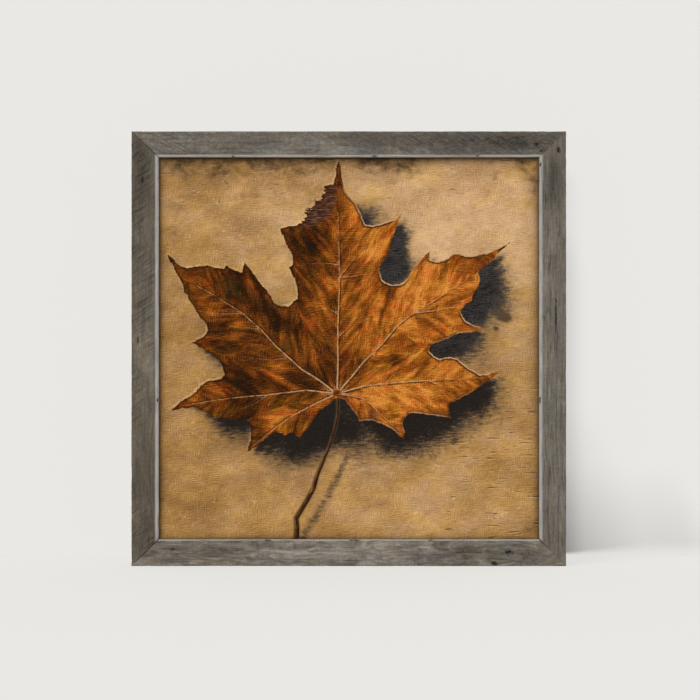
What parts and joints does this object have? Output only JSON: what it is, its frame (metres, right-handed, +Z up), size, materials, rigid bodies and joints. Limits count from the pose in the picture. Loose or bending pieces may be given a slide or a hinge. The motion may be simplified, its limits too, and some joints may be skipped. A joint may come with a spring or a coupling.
{
  "type": "framed canvas print",
  "caption": "Square canvas print of an autumn leaf, stretched on pine bars and held in a mitred frame of weathered wood with a sawtooth hanger.",
  "frame": {"origin": "middle of the object's bounding box in plan, on the surface that the bottom rail stands on", "axes": "+Z up; the picture faces -Y and the wall side faces +Y; +X is to the right as the picture is looked at"},
  "size_m": [0.508, 0.036, 0.508],
  "materials": {
    "weathered_wood": "grey weathered barnwood, rough sawn, unsealed",
    "pine": "planed unfinished pine",
    "canvas": "woven cotton canvas, printed in oil-paint style with a satin varnish, bare cloth on the back",
    "zinc_steel": "zinc-plated steel, dull satin",
    "rubber": "matte moulded rubber"
  },
  "bodies": {
    "root": {"bumper_left": "rubber", "bumper_right": "rubber", "canvas": "canvas", "canvas_clip_bottom_a": "zinc_steel", "canvas_clip_bottom_b": "zinc_steel", "canvas_clip_left_a": "zinc_steel", "canvas_clip_left_b": "zinc_steel", "canvas_clip_right_a": "zinc_steel", "canvas_clip_right_b": "zinc_steel", "canvas_clip_top_a": "zinc_steel", "canvas_clip_top_b": "zinc_steel", "canvas_staple_bottom_1": "zinc_steel", "canvas_staple_bottom_2": "zinc_steel", "canvas_staple_bottom_3": "zinc_steel", "canvas_staple_bottom_4": "zinc_steel", "canvas_staple_left_1": "zinc_steel", "canvas_staple_left_2": "zinc_steel", "canvas_staple_left_3": "zinc_steel", "canvas_staple_left_4": "zinc_steel", "canvas_staple_right_1": "zinc_steel", "canvas_staple_right_2": "zinc_steel", "canvas_staple_right_3": "zinc_steel", "canvas_staple_right_4": "zinc_steel", "canvas_staple_top_1": "zinc_steel", "canvas_staple_top_2": "zinc_steel", "canvas_staple_top_3": "zinc_steel", "canvas_staple_top_4": "zinc_steel", "clip_screw_bottom_a": "zinc_steel", "clip_screw_bottom_b": "zinc_steel", "clip_screw_left_a": "zinc_steel", "clip_screw_left_b": "zinc_steel", "clip_screw_right_a": "zinc_steel", "clip_screw_right_b": "zinc_steel", "clip_screw_top_a": "zinc_steel", "clip_screw_top_b": "zinc_steel", "frame_rail_bottom": "weathered_wood", "frame_rail_left": "weathered_wood", "frame_rail_right": "weathered_wood", "frame_rail_top": "weathered_wood", "frame_v_nail_bottom_right_inner": "zinc_steel", "frame_v_nail_bottom_right_outer": "zinc_steel", "frame_v_nail_left_bottom_inner": "zinc_steel", "frame_v_nail_left_bottom_outer": "zinc_steel", "frame_v_nail_right_top_inner": "zinc_steel", "frame_v_nail_right_top_outer": "zinc_steel", "frame_v_nail_top_left_inner": "zinc_steel", "frame_v_nail_top_left_outer": "zinc_steel", "hanger_nail_left": "zinc_steel", "hanger_nail_right": "zinc_steel", "sawtooth_hanger": "zinc_steel", "stretcher_bar_bottom": "pine", "stretcher_bar_left": "pine", "stretcher_bar_right": "pine", "stretcher_bar_top": "pine", "stretcher_v_nail_bottom_right": "zinc_steel", "stretcher_v_nail_left_bottom": "zinc_steel", "stretcher_v_nail_right_top": "zinc_steel", "stretcher_v_nail_top_left": "zinc_steel"}
  },
  "joints": []
}
